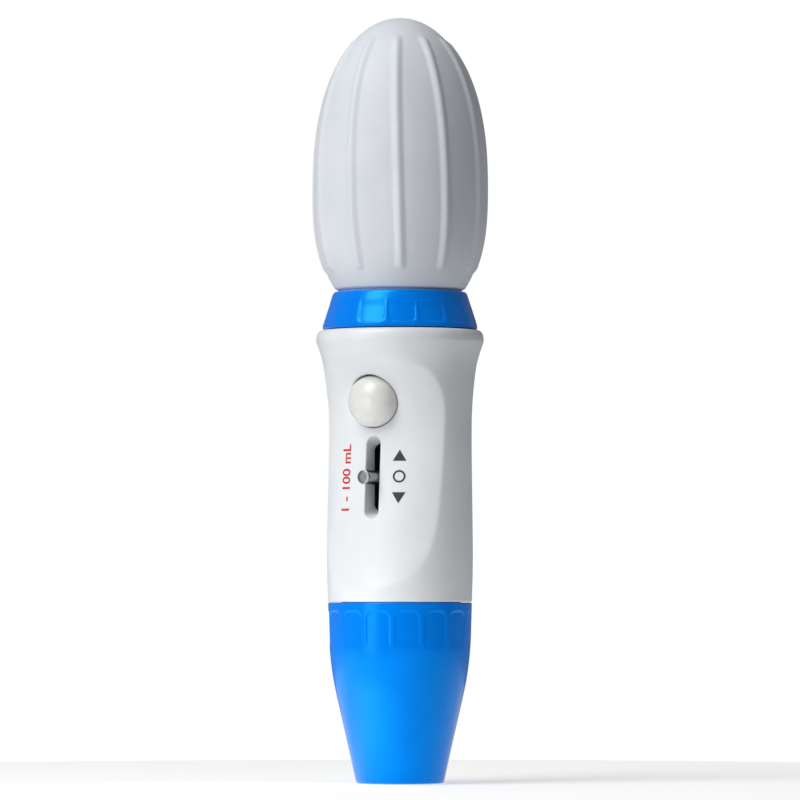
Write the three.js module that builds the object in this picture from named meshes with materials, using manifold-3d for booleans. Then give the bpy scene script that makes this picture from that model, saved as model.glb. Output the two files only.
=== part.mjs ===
// Hand-held pipette controller, worked by a squeeze bulb. Millimetres, +Z up, front towards -Y.
// The origin is the centre of the nose's end face, which the controller stands on.
import * as THREE from "three";
import { mergeVertices } from "three/addons/utils/BufferGeometryUtils.js";
import Module from "manifold-3d";

const wasm = await Module();
wasm.setup();

// ---- Driving dimensions ----
const GAP = 0.3; // least clearance between neighbours that don't move on each other
const RUNNING_GAP = 0.35; // between parts that slide or turn

const NOSE_LENGTH = 45;
const NOSE_END_RADIUS = 11.05;
const NOSE_MOUTH_RADIUS = 6.3;
const NOSE_FLOOR = 2.2;

const BARREL_BASE = NOSE_LENGTH + GAP; // height of the barrel's lower shoulder
const BARREL_HEIGHT = 67.6; // shoulder to rim
const BARREL_WALL = 2.3;
const SPIGOT_DEPTH = 9.4; // how far the barrel reaches into the nose
const NECK_HEIGHT = 5.6; // threaded neck above the rim
const NECK_BORE = 13.55;

const NOSE_PITCH = 3;
const NOSE_THREAD = { mean: 14.9, amplitude: 0.35, pitch: NOSE_PITCH };
const RING_PITCH = 2.5;
const RING_THREAD = { mean: 15.9, amplitude: 0.32, pitch: RING_PITCH };
const ROWS_PER_PITCH = 4;
const THREAD_SEGMENTS = 24;

const SCOOP_RADIUS = 24.5; // of the thumb scoop's floor, seen from above
const SCOOP_START = 2.5; // heights above the barrel's shoulder
const SCOOP_DEEPEST = 44.7;
const SCOOP_START_REACH = 18.2; // floor's distance from the axis, at the front
const SCOOP_DEEPEST_REACH = 13.15;
const SCOOP_TOP_ARC = 23.3;
const SCOOP_EASE = 0.08; // rounds the change from the lower slope to the top arc

const LEVER_HEIGHT = 76; // neutral lever, above the nose's end
const LEVER_PIVOT_Y = 6;
const LEVER_SWING = THREE.MathUtils.degToRad(22);
const LEVER_WIDTH = 2.4;
const LEVER_THICKNESS = 1.8;
const KNUCKLE_RADIUS = 2.3;
const PIN_RADIUS = 1.75;
const PIN_TIP_Y = -18.15;
const PIN_ROOT_Y = -9;
const SLOT_WIDTH = 3.9;
const SLOT_LENGTH = 20.5; // at the floor of the scoop
const SLOT_FLOOR_Y = -14;
const SLOT_BACK_Y = -9.25;

const BUTTON_HEIGHT = 94.9;
const BUTTON_RADIUS = 6.4;
const BUTTON_HOLE_RADIUS = 6.8;
const BUTTON_TIP = 18.25; // distance from the axis
const BUTTON_DOME = 4.6;
const CYLINDER_RADIUS = 6.4;
const CYLINDER_BORE = 5;

const BULB_RADIUS = 22.1;
const BULB_BASE = 120.3; // underside of the bulb's flange
const BULB_WIDEST = 27.7; // heights above the flange
const BULB_CROWN = 71;
const BULB_WALL = 1.8;
const BULB_NECK_RADIUS = 15.2;
const BULB_NECK_BORE = 13.5;

const RING_HEIGHT = 9.3;
const POCKETS = 15; // grip pockets round the ring, and round the nose
const POCKET_DEPTH = 0.5;

const SPOOL_RADIUS = 3.2;
const SPOOL_BORE = 3.7;
const SPOOL_HALF = 8;
const SEAL_WIRE = 0.5;
const RISER = [0, 7.2];
const BLOCK_SCREWS = [[-7.2, 6.2], [7.2, 6.2]];
const SEAT_SCREWS = [[-8.6, -3.2], [8.6, -3.2]];

// ---- Shape helpers ----
// A closed geometry as a solid that can be joined and cut.
function solid(geometry) {
  const bare = geometry.index ? geometry.toNonIndexed() : geometry.clone();
  bare.deleteAttribute("normal");
  bare.deleteAttribute("uv");
  const merged = mergeVertices(bare, 1e-4);
  const corners = merged.index.array;
  const faces = [];
  for (let i = 0; i < corners.length; i += 3) {
    const [a, b, c] = corners.subarray(i, i + 3);
    if (a !== b && b !== c && c !== a) faces.push(a, b, c);
  }
  return new wasm.Manifold(
    new wasm.Mesh({
      numProp: 3,
      vertProperties: merged.attributes.position.array,
      triVerts: new Uint32Array(faces),
    }),
  );
}

// A solid back as a geometry with flat-shaded normals.
function geometryOf(made) {
  const mesh = made.getMesh();
  const geometry = new THREE.BufferGeometry();
  geometry.setAttribute("position", new THREE.BufferAttribute(new Float32Array(mesh.vertProperties), 3));
  geometry.setIndex(new THREE.BufferAttribute(new Uint32Array(mesh.triVerts), 1));
  const flat = geometry.toNonIndexed();
  flat.computeVertexNormals();
  return flat;
}

// Turns an outline of [radius, height] points about Z; it runs up the outside and down the inside.
function turned(points, segments = 24) {
  const outline = points.map((p) => (p.isVector2 ? p : new THREE.Vector2(p[0], p[1])));
  return new THREE.LatheGeometry(outline, segments).rotateX(Math.PI / 2);
}

// A tube or washer, from its inner and outer radius and its two heights.
function sleeve(inner, outer, low, high, segments = 24) {
  const section = [[inner, low], [outer, low], [outer, high], [inner, high], [inner, low]];
  return solid(turned(section, segments));
}

// A plain round bar along Z.
function bar(radius, low, high, segments = 16, x = 0, y = 0) {
  const outline = [[0, low], [radius, low], [radius, high], [0, high]];
  return solid(turned(outline, segments).translate(x, y, 0));
}

function block(low, high) {
  const size = high.map((v, i) => v - low[i]);
  const middle = high.map((v, i) => (v + low[i]) / 2);
  return solid(new THREE.BoxGeometry(...size).translate(...middle));
}

function torus(major, minor, segments) {
  return solid(new THREE.TorusGeometry(major, minor, 5, segments));
}

// A round bar whose surface carries a rounded right-hand thread. A crest crosses +X at the datum.
function threadedBar({ mean, amplitude, pitch }, low, high, datum, clearance = 0) {
  const rows = Math.round(((high - low) * ROWS_PER_PITCH) / pitch);
  const outline = [[0, low]];
  for (let i = 0; i <= rows; i += 1) outline.push([mean, low + ((high - low) * i) / rows]);
  outline.push([0, high]);
  const geometry = turned(outline, THREAD_SEGMENTS);
  const place = geometry.attributes.position;
  for (let i = 0; i < place.count; i += 1) {
    const [x, y, z] = [place.getX(i), place.getY(i), place.getZ(i)];
    const radius = Math.hypot(x, y);
    if (radius > 1) {
      const turn = (2 * Math.PI * (z - datum)) / pitch - Math.atan2(y, x);
      const wanted = mean + clearance + amplitude * Math.cos(turn);
      place.setXY(i, (x * wanted) / radius, (y * wanted) / radius);
    }
  }
  return solid(geometry);
}

class Helix extends THREE.Curve {
  constructor(radius, low, high, turns) {
    super();
    Object.assign(this, { radius, low, high, turns });
  }
  getPoint(t, target = new THREE.Vector3()) {
    const angle = 2 * Math.PI * this.turns * t;
    const height = this.low + (this.high - this.low) * t;
    return target.set(this.radius * Math.cos(angle), this.radius * Math.sin(angle), height);
  }
}

// An open coil spring between two heights, wire and all.
function coil(radius, wire, low, high, turns) {
  const path = new Helix(radius, low + wire, high - wire, turns);
  const section = new THREE.Shape().absarc(0, 0, wire, 0, 2 * Math.PI);
  const steps = Math.round(turns * 10);
  return solid(new THREE.ExtrudeGeometry(section, { steps, extrudePath: path, curveSegments: 2 }));
}

function joined(...solids) {
  return solids.reduce((whole, next) => whole.add(next));
}

function cut(made, ...tools) {
  return tools.reduce((rest, tool) => rest.subtract(tool), made);
}

function finish(colour, roughness, metalness = 0) {
  return new THREE.MeshStandardMaterial({ color: colour, roughness, metalness });
}

const BLUE_PLASTIC = [0x0a7ceb, 0.32];
const PALE_PLASTIC = [0xe6eaec, 0.38];
const BUTTON_PLASTIC = [0xd9d8d5, 0.25];
const SILICONE = [0xd2d5da, 0.6];
const CLEAR_SILICONE = [0xe9e6da, 0.5];
const VALVE_PLASTIC = [0xf2f2ee, 0.45];
const RUBBER = [0x2a2c2e, 0.8];
const STEEL = [0xb9bcbf, 0.3, 1];
const FILTER_CASE = [0xf4f6f6, 0.3];

function piece(parent, name, made, look) {
  const mesh = new THREE.Mesh(geometryOf(made), finish(...look));
  mesh.name = name;
  parent.add(mesh);
  return mesh;
}

// ---- Nose: a screwed cone with arched grip pockets below its rim ----
function noseCone() {
  const outside = new THREE.Path();
  outside.moveTo(NOSE_MOUTH_RADIUS, 0);
  outside.lineTo(NOSE_END_RADIUS - 0.6, 0);
  outside.lineTo(NOSE_END_RADIUS, 0.6);
  outside.lineTo(15.95, 22.5);
  outside.quadraticCurveTo(17.35, 28.6, 17.7, 36);
  outside.lineTo(17.95, NOSE_LENGTH - 0.4);
  outside.lineTo(17.6, NOSE_LENGTH);
  outside.lineTo(15, NOSE_LENGTH);
  outside.lineTo(15, 29);
  outside.lineTo(14, 24);
  outside.lineTo(9.5, NOSE_FLOOR);
  outside.lineTo(NOSE_MOUTH_RADIUS, NOSE_FLOOR);
  outside.lineTo(NOSE_MOUTH_RADIUS, 0);
  const shell = solid(turned(outside.getPoints(2), 2 * POCKETS));
  const thread = threadedBar(NOSE_THREAD, 35.3, NOSE_LENGTH + 1.2, BARREL_BASE, RUNNING_GAP);
  const arch = new THREE.Shape();
  arch.moveTo(-2.5, 34.5);
  arch.lineTo(2.5, 34.5);
  arch.absarc(0.5, 40.6, 2, 0, Math.PI / 2);
  arch.absarc(-0.5, 40.6, 2, Math.PI / 2, Math.PI);
  const floor = bar(17.78 - POCKET_DEPTH, 30, NOSE_LENGTH, 2 * POCKETS);
  return cut(shell, thread, pockets(arch, floor));
}

// Shallow grip pockets of one outline, spaced evenly round a part, down to a floor.
function pockets(outline, floor) {
  const tool = new THREE.ExtrudeGeometry(outline, { depth: 8, bevelEnabled: false, curveSegments: 1 });
  tool.rotateX(Math.PI / 2).translate(0, -14, 0);
  const all = [];
  for (let i = 0; i < POCKETS; i += 1) {
    all.push(solid(tool.clone().rotateZ((2 * Math.PI * (i + 0.5)) / POCKETS)));
  }
  return joined(...all).subtract(floor);
}

// ---- What sits in the nose: adapter, filter and valve for the pipette's end ----
function pipetteAdapter() {
  const outline = [
    [4.9, 0], [8.9, 0], [8.9, 3], [8.2, 3.4], [8.2, 17.5], [13.2, 22.5], [13.2, 31.1],
    [12, 31.1], [12, 24], [2.9, 24], [2.9, 19.5], [4.9, 0],
  ];
  return solid(turned(outline, 24));
}

function discFilter() {
  const outline = [
    [1.1, -4.4], [2.3, -4.4], [2.3, 0], [11.5, 0], [11.5, 3], [2.3, 3], [2.3, 8.4], [1.1, 8.4],
    [1.1, -4.4],
  ];
  return solid(turned(outline, 24));
}

function checkValve() {
  const outline = [[2.7, 0], [3.6, 0], [3.6, 5.8], [1.6, 9.6], [0.5, 9.6], [2.7, 5.1], [2.7, 0]];
  return solid(turned(outline, 16));
}

// ---- Barrel ----
function barrelOutline() {
  const path = new THREE.Path();
  path.moveTo(0, 0);
  path.lineTo(17.55, 0);
  path.lineTo(17.95, 0.4);
  const side = [[18.2, 12], [17.92, 38], [18.1, 49], [19.1, 58.6], [20.9, 64.8]];
  path.splineThru(side.map(([r, z]) => new THREE.Vector2(r, z)));
  path.quadraticCurveTo(21.05, BARREL_HEIGHT - 0.5, 19.8, BARREL_HEIGHT);
  path.lineTo(0, BARREL_HEIGHT);
  return path.getPoints(2);
}

// How far the scoop's floor lies in front of the axis, at a height above the shoulder.
function scoopReach(height) {
  if (height > SCOOP_DEEPEST) {
    const rise = height - SCOOP_DEEPEST;
    return SCOOP_DEEPEST_REACH + SCOOP_TOP_ARC - Math.sqrt(SCOOP_TOP_ARC ** 2 - rise ** 2);
  }
  const t = (SCOOP_DEEPEST - height) / (SCOOP_DEEPEST - SCOOP_START);
  const slope = Math.hypot(t, SCOOP_EASE) - SCOOP_EASE;
  return SCOOP_DEEPEST_REACH + (SCOOP_START_REACH - SCOOP_DEEPEST_REACH) * (0.45 * slope + 0.55 * t ** 4);
}

// What the scoop takes away: everything in front of its floor, which lies deeper by the inset.
function scoopCutter(inset) {
  const bottom = SCOOP_START - 3;
  const top = SCOOP_DEEPEST + 18.5;
  const rows = 10;
  const radius = SCOOP_RADIUS - inset;
  const outline = [[0, bottom]];
  for (let i = 0; i <= rows; i += 1) outline.push([radius, bottom + ((top - bottom) * i) / rows]);
  outline.push([0, top]);
  const kept = turned(outline, 40);
  const place = kept.attributes.position;
  for (let i = 0; i < place.count; i += 1) {
    place.setY(i, place.getY(i) + SCOOP_RADIUS - scoopReach(place.getZ(i)));
  }
  return block([-21, -24, bottom + 0.01], [21, 2, top - 0.01]).subtract(solid(kept));
}

// The slot's end walls flare with the lever's swing, so it is longer at the outside.
function slotTool(grow, outsideY, insideY) {
  const half = (y) => {
    const taper = (y - SLOT_FLOOR_Y) * Math.tan(LEVER_SWING);
    return SLOT_LENGTH / 2 - taper + grow;
  };
  const width = SLOT_WIDTH / 2 + grow;
  const ends = [outsideY, insideY].map((y) => {
    const outline = new THREE.Shape();
    outline.absarc(0, half(y) - width, width, 0, Math.PI);
    outline.absarc(0, width - half(y), width, Math.PI, 2 * Math.PI);
    return outline.getPoints(3);
  });
  const shape = new THREE.Shape(ends[0]);
  const depth = insideY - outsideY;
  const geometry = new THREE.ExtrudeGeometry(shape, { depth, bevelEnabled: false });
  geometry.rotateX(Math.PI / 2).translate(0, insideY, 0);
  const place = geometry.attributes.position;
  for (let i = 0; i < place.count; i += 1) {
    if (place.getY(i) > insideY - 0.001) {
      const short = Math.sign(place.getZ(i)) * (half(outsideY) - half(insideY));
      place.setZ(i, place.getZ(i) - short);
    }
  }
  return solid(geometry.translate(0, 0, LEVER_HEIGHT - BARREL_BASE));
}

function housing() {
  const spigot = threadedBar(NOSE_THREAD, -SPIGOT_DEPTH, 0.5, 0);
  const neck = threadedBar(RING_THREAD, BARREL_HEIGHT - 0.5, BARREL_HEIGHT + NECK_HEIGHT, BARREL_HEIGHT);
  const body = cut(solid(turned(barrelOutline(), 40)), scoopCutter(0));
  const hollowOutline = [
    [0, 0], [15.8, 3.5], [15.7, 50], [16.2, 56], [NECK_BORE, 63], [NECK_BORE, 80], [0, 80],
  ];
  const hollow = cut(solid(turned(hollowOutline, 28)), scoopCutter(BARREL_WALL));
  const boreOutline = [
    [0, -10], [12.8, -10], [12.8, -8.4], [13.5, -8.4], [13.5, -7], [12.8, -7], [12.8, -4.8], [11, -4.8],
    [11, -3.3], [12.8, -3.3], [12.8, -0.6], [14, 1.6], [0, 1.6],
  ];
  const bore = solid(turned(boreOutline, 24));
  const bosses = SEAT_SCREWS.map(([x, y]) => {
    const [near, far] = x < 0 ? [-14.2, x] : [x, 14.2];
    const rib = block([near, y - 1.9, 64], [far, y + 1.9, 71.2]);
    return joined(bar(2.3, 64, 71.2, 12, x, y), rib);
  });
  const screwHoles = SEAT_SCREWS.map(([x, y]) => bar(1.5, 62, 72, 8, x, y));
  const slotBoss = slotTool(1.6, SLOT_FLOOR_Y + 1.2, SLOT_BACK_Y);
  const slot = slotTool(0, SLOT_FLOOR_Y - 3, SLOT_BACK_Y + 1);
  const buttonHole = bar(BUTTON_HOLE_RADIUS, 8, 22, 28);
  const hole = buttonHole.rotate([90, 0, 0]).translate([0, 0, BUTTON_HEIGHT - BARREL_BASE]);
  const shell = cut(joined(body, spigot, neck), hollow, bore);
  return cut(joined(shell, slotBoss, ...bosses), slot, hole, ...screwHoles);
}

// A split ring that springs into a groove.
function snapRing(outer, inner, thickness) {
  const opening = 0.35;
  const outline = new THREE.Shape();
  outline.absarc(0, 0, outer, opening, 2 * Math.PI - opening);
  outline.absarc(0, 0, inner, 2 * Math.PI - opening, opening, true);
  const options = { depth: thickness, bevelEnabled: false, curveSegments: 9 };
  return solid(new THREE.ExtrudeGeometry(outline, options));
}

function inletTube() {
  const outline = [
    [1.4, 4.1], [4.3, 4.1], [4.3, 0], [12.4, 0], [12.4, 1.8], [5.6, 2.6], [5.4, 6.6], [3.2, 9], [3.2, 18.8],
    [2.5, 19.3], [2.5, 24.4], [1.4, 24.4], [1.4, 4.1],
  ];
  return solid(turned(outline, 20));
}

// ---- Valve cartridge, drawn about the neutral lever's height ----
function roundedPlate(halfWidth, front, back, corner) {
  const shape = new THREE.Shape();
  shape.absarc(halfWidth - corner, back - corner, corner, 0, Math.PI / 2);
  shape.absarc(corner - halfWidth, back - corner, corner, Math.PI / 2, Math.PI);
  shape.absarc(corner - halfWidth, front + corner, corner, Math.PI, 1.5 * Math.PI);
  shape.absarc(halfWidth - corner, front + corner, corner, 1.5 * Math.PI, 2 * Math.PI);
  return shape;
}

function valveBlock() {
  const plate = roundedPlate(10, -8.2, 9.6, 4);
  const core = new THREE.ExtrudeGeometry(plate, { depth: 30, bevelEnabled: false, curveSegments: 2 });
  const posts = BLOCK_SCREWS.map(([x, y]) => bar(2.2, 11, 40.5, 12, x, y));
  const riser = bar(3.6, 11, 35.5, 16, ...RISER);
  const whole = joined(solid(core.translate(0, 0, -18)), riser, ...posts);

  const half = (y) => 1.4 + (LEVER_PIVOT_Y - y) * Math.tan(LEVER_SWING);
  const sweep = new THREE.Shape();
  sweep.moveTo(LEVER_PIVOT_Y, -half(LEVER_PIVOT_Y));
  sweep.lineTo(LEVER_PIVOT_Y, half(LEVER_PIVOT_Y));
  sweep.lineTo(-9, half(-9));
  sweep.lineTo(-9, -half(-9));
  const width = LEVER_WIDTH + 0.8;
  const sweepCut = new THREE.ExtrudeGeometry(sweep, { depth: width, bevelEnabled: false });
  sweepCut.rotateY(Math.PI / 2).rotateX(Math.PI / 2).translate(-width / 2, 0, 0);

  const pinRelief = block([-2.3, -9, -7.4], [2.3, -6.9, 7.4]);
  const buttonRelief = block([-8, -9, 11.3], [8, -5.6, 13]);

  return cut(
    whole,
    pinRelief,
    buttonRelief,
    bar(SPOOL_BORE, -10.8, 13, 20),
    bar(2.9, -19, -12.6, 14),
    bar(0.8, -13, -10, 8),
    solid(sweepCut),
    bar(3.3, -width / 2, width / 2, 16).rotate([0, 90, 0]).translate([0, LEVER_PIVOT_Y, 0]),
    bar(1.55, -12, 12, 10).rotate([0, 90, 0]).translate([0, LEVER_PIVOT_Y, 0]),
    bar(1.2, 8, 30, 8, ...RISER),
    bar(2.8, 29.5, 36, 12, ...RISER),
    bar(0.9, -7.2, -2, 8).rotate([90, 0, 0]).translate([0, 0, 9]),
    bar(2, -7, -3, 12).rotate([90, 0, 0]).translate([0, 0, BUTTON_HEIGHT - LEVER_HEIGHT]),
    ...BLOCK_SCREWS.map(([x, y]) => bar(1.5, 33, 41, 8, x, y)),
  );
}

function valveSpool() {
  const outline = [
    [0, -SPOOL_HALF + 1.8], [2.2, -SPOOL_HALF + 1.8], [2.2, -SPOOL_HALF], [SPOOL_RADIUS, -SPOOL_HALF],
    [SPOOL_RADIUS, -5.8], [2.1, -5.8], [2.1, -4.2], [SPOOL_RADIUS, -4.2],
    [SPOOL_RADIUS, 4.2], [2.1, 4.2], [2.1, 5.8], [SPOOL_RADIUS, 5.8],
    [SPOOL_RADIUS, SPOOL_HALF], [2.2, SPOOL_HALF], [2.2, SPOOL_HALF - 1.8], [0, SPOOL_HALF - 1.8],
  ];
  const halfWindow = KNUCKLE_RADIUS + RUNNING_GAP;
  const halfWidth = LEVER_WIDTH / 2 + RUNNING_GAP;
  const window = block([-halfWidth, -5, -halfWindow], [halfWidth, 5, halfWindow]);
  return cut(solid(turned(outline, 20)), window);
}

// ---- Lever, drawn about its pivot ----
function leverArm() {
  const [w, t] = [LEVER_WIDTH / 2, LEVER_THICKNESS / 2];
  const end = -14.7;
  const eye = bar(2.8, -w, w, 16).rotate([0, 90, 0]);
  const knuckle = bar(KNUCKLE_RADIUS, -w, w, 16).rotate([0, 90, 0]).translate([0, -LEVER_PIVOT_Y, 0]);
  const arm = block([-w, end, -t], [w, -1, t]);
  const tenon = bar(0.65, -end - 0.5, -end + 3.9, 8).rotate([90, 0, 0]);
  return cut(joined(eye, arm, knuckle, tenon), bar(1.55, -3, 3, 10).rotate([0, 90, 0]));
}

// The pin is turned about its own axis, with its tip at the origin and its root above it.
function leverPin() {
  const length = PIN_ROOT_Y - PIN_TIP_Y;
  const outline = [
    [0, 0], [PIN_RADIUS - 0.2, 0], [PIN_RADIUS, 0.2], [PIN_RADIUS, length], [1, length], [1, length - 4.2],
    [0, length - 4.2],
  ];
  return solid(turned(outline, 16));
}

// ---- Blow-out button, drawn along its own axis with +Z coming out of the barrel ----
function domeOutline(radius, rise, base, steps) {
  const points = [];
  for (let i = 0; i <= steps; i += 1) {
    const angle = (Math.PI / 2) * (i / steps);
    points.push([radius * Math.cos(angle), base + rise * Math.sin(angle)]);
  }
  return points;
}

function blowOutButton() {
  const base = BUTTON_TIP - BUTTON_DOME;
  const inner = domeOutline(5.2, BUTTON_DOME - 1.4, base, 3).reverse();
  const outline = [
    [5.2, 9.2], [7.2, 9.2], [7.2, 9.9], [BUTTON_RADIUS, 9.9],
    ...domeOutline(BUTTON_RADIUS, BUTTON_DOME, base, 6),
    ...inner, [5.2, 9.2],
  ];
  const boss = sleeve(1.9, 2.8, 12.2, base + 3, 12);
  return joined(solid(turned(outline, 28)), boss);
}

function blowOutPiston() {
  const outline = [
    [0, 1.9], [4.4, 1.9], [4.4, 2.4], [3.4, 2.4], [3.4, 4], [4.4, 4], [4.4, 4.5], [1.5, 4.5],
    [1.5, 15.6], [0, 15.6],
  ];
  return solid(turned(outline, 20));
}

function buttonCylinder() {
  const outline = [
    [0.9, -4.6], [1.6, -4.6], [1.6, -2.6], [CYLINDER_RADIUS, -2.6], [CYLINDER_RADIUS, 4.6],
    [CYLINDER_BORE, 4.6], [CYLINDER_BORE, -1.4], [0.9, -1.4], [0.9, -4.6],
  ];
  return solid(turned(outline, 20));
}

// ---- Head: seat, exhaust valve, bulb and its screwed ring, drawn above the barrel's rim ----
function bulbSeat() {
  const outline = [
    [0, 3.9], [13.2, 3.9], [13.2, 4.15], [12, 4.15], [12, 5.65], [15.4, 5.9], [15.4, 7.1], [13.1, 7.1],
    [13.1, 11.1], [11.7, 11.1], [11.7, 7.1], [0, 7.1],
  ];
  const nozzle = bar(2.4, -6.9, 5, 12, ...RISER);
  const vents = [0, 1, 2, 3].map((i) => {
    const angle = (Math.PI / 2) * (i + 0.5);
    return bar(0.5, 3, 8, 6, 1.9 * Math.cos(angle), -7.6 + 1.9 * Math.sin(angle));
  });
  return cut(
    joined(solid(turned(outline, 28)), nozzle),
    bar(1.2, -8, 8, 8, ...RISER),
    bar(1.15, 3, 8, 8, 0, -7.6),
    ...vents,
    ...[...SEAT_SCREWS, ...BLOCK_SCREWS].map(([x, y]) => bar(1.5, 3, 8, 8, x, y)),
  );
}

function exhaustValve() {
  const outline = [
    [0, 2.6], [2.6, 2.6], [2.9, 3.6], [0.8, 3.6], [0.8, 7.4], [1.5, 7.4], [1.1, 8.4], [0, 8.4],
  ];
  return solid(turned(outline, 12));
}

// A cross-recessed pan-head screw with its head's seat at the origin.
function screw(length) {
  const shank = bar(1.1, -length, 0.1, 8);
  const head = solid(turned([[0, 0], [1.9, 0], [1.9, 0.7], [1.2, 1.4], [0, 1.4]], 12));
  const recess = [block([-1.1, -0.25, 0.7], [1.1, 0.25, 2]), block([-0.25, -1.1, 0.7], [0.25, 1.1, 2])];
  return cut(joined(shank, head), ...recess);
}

// The bulb's side above and below its widest height, each a rounded curve of its own fullness.
function bulbRadius(height, radius, crown) {
  if (height >= BULB_WIDEST) {
    const t = Math.min(1, (height - BULB_WIDEST) / (crown - BULB_WIDEST));
    return radius * Math.sqrt(1 - t ** 2.4);
  }
  return radius * Math.sqrt(1 - ((BULB_WIDEST - height) / 34) ** 2.6);
}

function squeezeBulb() {
  const side = (radius, crown, from, steps) => {
    const points = [];
    for (let i = 0; i <= steps; i += 1) {
      const height = from + (crown - from) * (0.5 - 0.5 * Math.cos((Math.PI * i) / steps));
      points.push([i === steps ? 0 : bulbRadius(height, radius, crown), height]);
    }
    return points;
  };
  const outline = [
    [BULB_NECK_BORE, 0], [16, 0], [16, 1.3], [BULB_NECK_RADIUS, 1.3], [BULB_NECK_RADIUS, 2.5],
    ...side(BULB_RADIUS, BULB_CROWN, 3.1, 10),
    ...side(BULB_RADIUS - BULB_WALL, BULB_CROWN - BULB_WALL, 4.6, 6).reverse(),
    [BULB_NECK_BORE, 0],
  ];
  return solid(turned(outline, 32));
}

function bulbRing() {
  const profile = (inset) => {
    const outside = new THREE.Path();
    outside.moveTo(15.4, 0);
    outside.lineTo(19.35 - inset, 0);
    outside.lineTo(19.3 - inset, 1.4);
    outside.quadraticCurveTo(18.7 - inset, 3.4, 17.75 - inset, 6.9);
    outside.quadraticCurveTo(17.3 - inset, 8.9, 16.3 - inset, RING_HEIGHT);
    return outside;
  };
  const outside = profile(0);
  outside.lineTo(15.5, RING_HEIGHT);
  outside.lineTo(15.5, 8.7);
  outside.lineTo(16.3, 8.4);
  outside.lineTo(16.3, 5.9);
  outside.lineTo(15.4, 5.9);
  outside.lineTo(15.4, 0);
  const thread = threadedBar(RING_THREAD, -0.5, 6.2, -GAP, RUNNING_GAP);
  const pocket = new THREE.Shape();
  pocket.moveTo(-3, 7.2);
  pocket.absarc(-1.8, 2.6, 1.2, Math.PI, 1.5 * Math.PI);
  pocket.absarc(1.8, 2.6, 1.2, 1.5 * Math.PI, 2 * Math.PI);
  pocket.lineTo(3, 7.2);
  const floorProfile = profile(POCKET_DEPTH);
  floorProfile.lineTo(0, RING_HEIGHT);
  floorProfile.lineTo(0, 0);
  floorProfile.lineTo(15.4, 0);
  const floor = solid(turned(floorProfile.getPoints(2), 2 * POCKETS));
  return cut(solid(turned(outside.getPoints(2), 2 * POCKETS)), thread, pockets(pocket, floor));
}

// ---- Assembly ----
const controller = new THREE.Group();
controller.name = "pipette_controller";

function groupAt(parent, x, y, z) {
  const group = new THREE.Group();
  group.position.set(x, y, z);
  parent.add(group);
  return group;
}

piece(controller, "nose_cone", noseCone(), BLUE_PLASTIC);

const stack = groupAt(controller, 0, 0, NOSE_FLOOR + GAP);
piece(stack, "pipette_adapter", pipetteAdapter(), CLEAR_SILICONE);
piece(stack, "filter_gasket", sleeve(8, 11, 24.3, 24.8), RUBBER);
piece(stack, "disc_filter", discFilter(), FILTER_CASE).position.z = 25.1;
piece(stack, "check_valve", checkValve(), SILICONE).position.z = 28.7;
piece(stack, "nose_o_ring", torus(14, 0.7, 26), RUBBER).position.z = 32.2;

const barrel = groupAt(controller, 0, 0, BARREL_BASE);
piece(barrel, "housing", housing(), PALE_PLASTIC);
piece(barrel, "snap_ring", snapRing(13.2, 11.2, 0.8), STEEL).position.z = -8.1;
piece(barrel, "inlet_tube", inletTube(), VALVE_PLASTIC).position.z = -6.9;

const cartridge = groupAt(controller, 0, 0, LEVER_HEIGHT);
piece(cartridge, "valve_block", valveBlock(), VALVE_PLASTIC);
piece(cartridge, "valve_spool", valveSpool(), STEEL);
piece(cartridge, "spool_o_ring_upper", torus(2.9, SEAL_WIRE, 14), RUBBER).position.z = 5;
piece(cartridge, "spool_o_ring_lower", torus(2.9, SEAL_WIRE, 14), RUBBER).position.z = -5;
piece(cartridge, "spool_spring_upper", coil(1.5, 0.22, 6.5, 10.4, 4), STEEL);
piece(cartridge, "spool_spring_lower", coil(1.5, 0.22, -10.5, -6.5, 4), STEEL);
piece(cartridge, "spool_bore_plug", bar(3.4, 10.7, 11.7, 24), VALVE_PLASTIC);

const lever = groupAt(cartridge, 0, LEVER_PIVOT_Y, 0);
piece(lever, "lever_arm", leverArm(), STEEL);
piece(lever, "lever_axle", bar(1.2, -9.6, 9.6, 16), STEEL).rotation.y = Math.PI / 2;
const pin = piece(lever, "lever_pin", leverPin(), STEEL);
pin.position.y = PIN_TIP_Y - LEVER_PIVOT_Y;
pin.rotation.x = -Math.PI / 2;

const button = groupAt(controller, 0, 0, BUTTON_HEIGHT);
button.rotation.x = Math.PI / 2;
piece(button, "blow_out_button", blowOutButton(), BUTTON_PLASTIC);
piece(button, "blow_out_piston", blowOutPiston(), VALVE_PLASTIC);
piece(button, "piston_seal", torus(4.2, SEAL_WIRE, 18), RUBBER).position.z = 3.2;
piece(button, "button_spring", coil(4.2, 0.35, 6.2, 14.4, 4.5), STEEL);
piece(button, "button_cylinder", buttonCylinder(), VALVE_PLASTIC);
piece(button, "cylinder_cap", sleeve(1.9, CYLINDER_RADIUS, 4.9, 5.9, 24), VALVE_PLASTIC);

const head = groupAt(controller, 0, 0, BARREL_BASE + BARREL_HEIGHT);
piece(head, "bulb_seat", bulbSeat(), VALVE_PLASTIC);
piece(head, "seat_o_ring", torus(12.75, 0.45, 26), RUBBER).position.z = 4.9;
piece(head, "exhaust_valve", exhaustValve(), SILICONE).position.y = -7.6;
const screwNames = ["seat_screw_left", "seat_screw_right", "block_screw_left", "block_screw_right"];
[...SEAT_SCREWS, ...BLOCK_SCREWS].forEach(([x, y], i) => {
  piece(head, screwNames[i], screw(9.4), STEEL).position.set(x, y, 7.1 + GAP);
});
piece(head, "squeeze_bulb", squeezeBulb(), SILICONE).position.z = BULB_BASE - BARREL_BASE - BARREL_HEIGHT;
piece(head, "bulb_ring", bulbRing(), BLUE_PLASTIC).position.z = GAP;

export default controller;
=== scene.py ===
import math

import bmesh
import bpy
from mathutils import Matrix, Vector


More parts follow.
